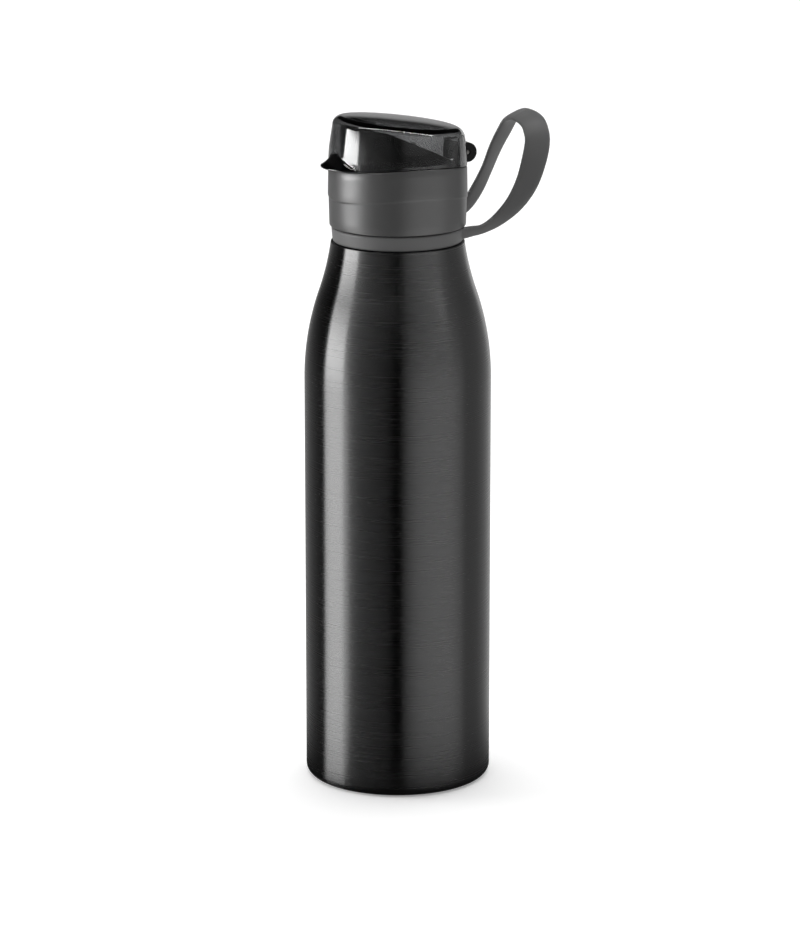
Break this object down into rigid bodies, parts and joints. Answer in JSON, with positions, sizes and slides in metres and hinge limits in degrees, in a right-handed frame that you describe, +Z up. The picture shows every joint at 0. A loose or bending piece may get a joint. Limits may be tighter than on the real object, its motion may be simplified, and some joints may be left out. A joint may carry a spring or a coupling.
{
  "type": "sports bottle",
  "caption": "Slim aluminium sports bottle with a screw cap, a hinged clear lid over a sloping drinking spout, and a soft carry loop on a ring round the neck.",
  "frame": {"origin": "centre of the ring that the bottle stands on, on the bottle's axis", "axes": "+Z up along the bottle's axis; -Y to the thumb tab and the drinking side; +Y to the hinge and the carry loop; +X to the left side as the drinker holds it"},
  "size_m": [0.066, 0.0879, 0.2397],
  "materials": {
    "anodised_aluminium": "black anodised, finely brushed round the body, semi-gloss",
    "grey_silicone": "moulded silicone, matt",
    "grey_polypropylene": "moulded, satin",
    "black_polypropylene": "moulded, semi-gloss",
    "clear_silicone": "translucent silicone",
    "black_rubber": "moulded silicone rubber, matt",
    "smoked_styrene": "clear smoked styrene acrylonitrile, polished",
    "pin_steel": "ground"
  },
  "bodies": {
    "bottle": {"bottle_shell": "anodised_aluminium"},
    "neck_ring": {"strap_ring": "grey_silicone"},
    "carry_loop": {"strap_loop": "grey_silicone"},
    "mouth_seal": {"cap_gasket": "clear_silicone"},
    "thread_rise": {"spout_o_ring": "black_rubber"},
    "cap": {"cap_sleeve": "grey_polypropylene", "cap_insert": "black_polypropylene", "spout": "black_polypropylene", "vent_valve": "clear_silicone", "hinge_pin": "pin_steel"},
    "lid": {"flip_lid": "smoked_styrene", "lid_seal": "black_rubber"}
  },
  "joints": [
    {"name": "strap_turn", "type": "hinge", "parent": "bottle", "child": "neck_ring", "pos_m": [0, 0, 0.19725], "axis": [0, 0, 1], "continuous": true},
    {"name": "strap_swing", "type": "hinge", "parent": "neck_ring", "child": "carry_loop", "pos_m": [0, 0.02238, 0.1984], "axis": [-1, 0, 0], "range_deg": [-20, 95], "stiffness_Nm_per_rad": 0.05},
    {"name": "cap_lift", "type": "slide", "parent": "bottle", "child": "mouth_seal", "axis": [0, 0, 1], "range_m": [0, 0.06]},
    {"name": "cap_rise", "type": "slide", "parent": "mouth_seal", "child": "thread_rise", "axis": [0, 0, 1], "range_m": [0, 0.0053]},
    {"name": "cap_unscrew", "type": "hinge", "parent": "thread_rise", "child": "cap", "pos_m": [0, 0, 0.21], "axis": [0, 0, 1], "range_deg": [0, 540]},
    {"name": "lid_hinge", "type": "hinge", "parent": "cap", "child": "lid", "pos_m": [0, 0.02456, 0.22495], "axis": [-1, 0, 0], "range_deg": [0, 110]}
  ],
  "couplings": [
    {"joint": "cap_rise", "follows": "cap_unscrew", "m_per_rad": 0.00055704}
  ]
}
